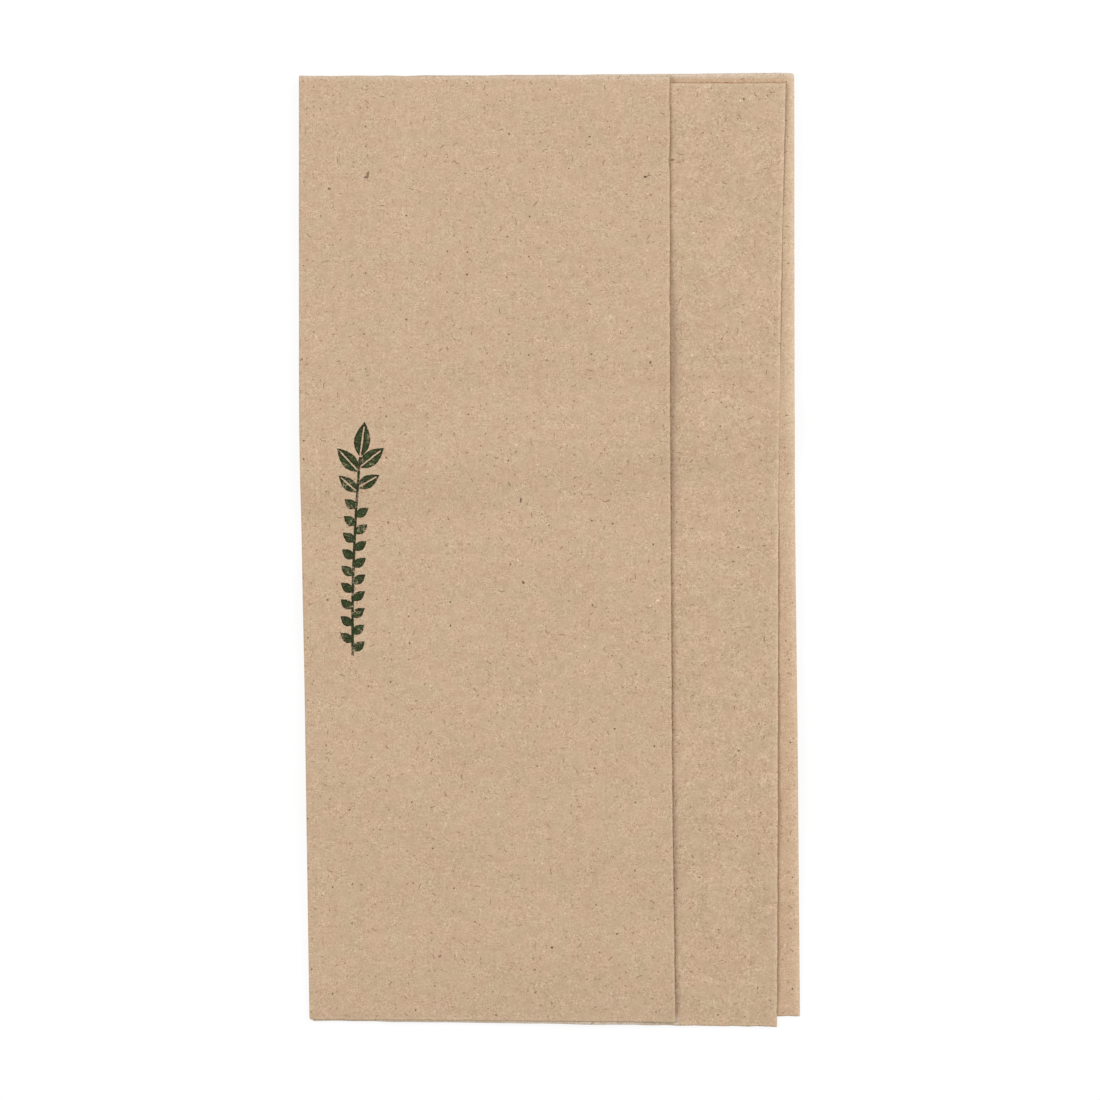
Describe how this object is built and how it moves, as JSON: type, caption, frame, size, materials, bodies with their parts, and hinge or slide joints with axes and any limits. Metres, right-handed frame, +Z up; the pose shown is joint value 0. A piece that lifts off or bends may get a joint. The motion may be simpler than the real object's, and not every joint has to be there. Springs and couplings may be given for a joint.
{
  "type": "paper napkin",
  "caption": "Unbleached single-ply paper napkin, folded lengthwise into a tall flat packet with two overlapping flaps in front.",
  "frame": {"origin": "centre of the packet's footprint, on the surface that it lies on", "axes": "+X across the folds towards the right fold, +Y along the folds towards the top end, +Z up out of the front flap"},
  "size_m": [0.0944, 0.1798, 0.0015],
  "materials": {
    "tissue": "unbleached recycled tissue, matt, finely crinkled, with brown flecks"
  },
  "bodies": {
    "root": {"napkin": "tissue"}
  },
  "joints": []
}
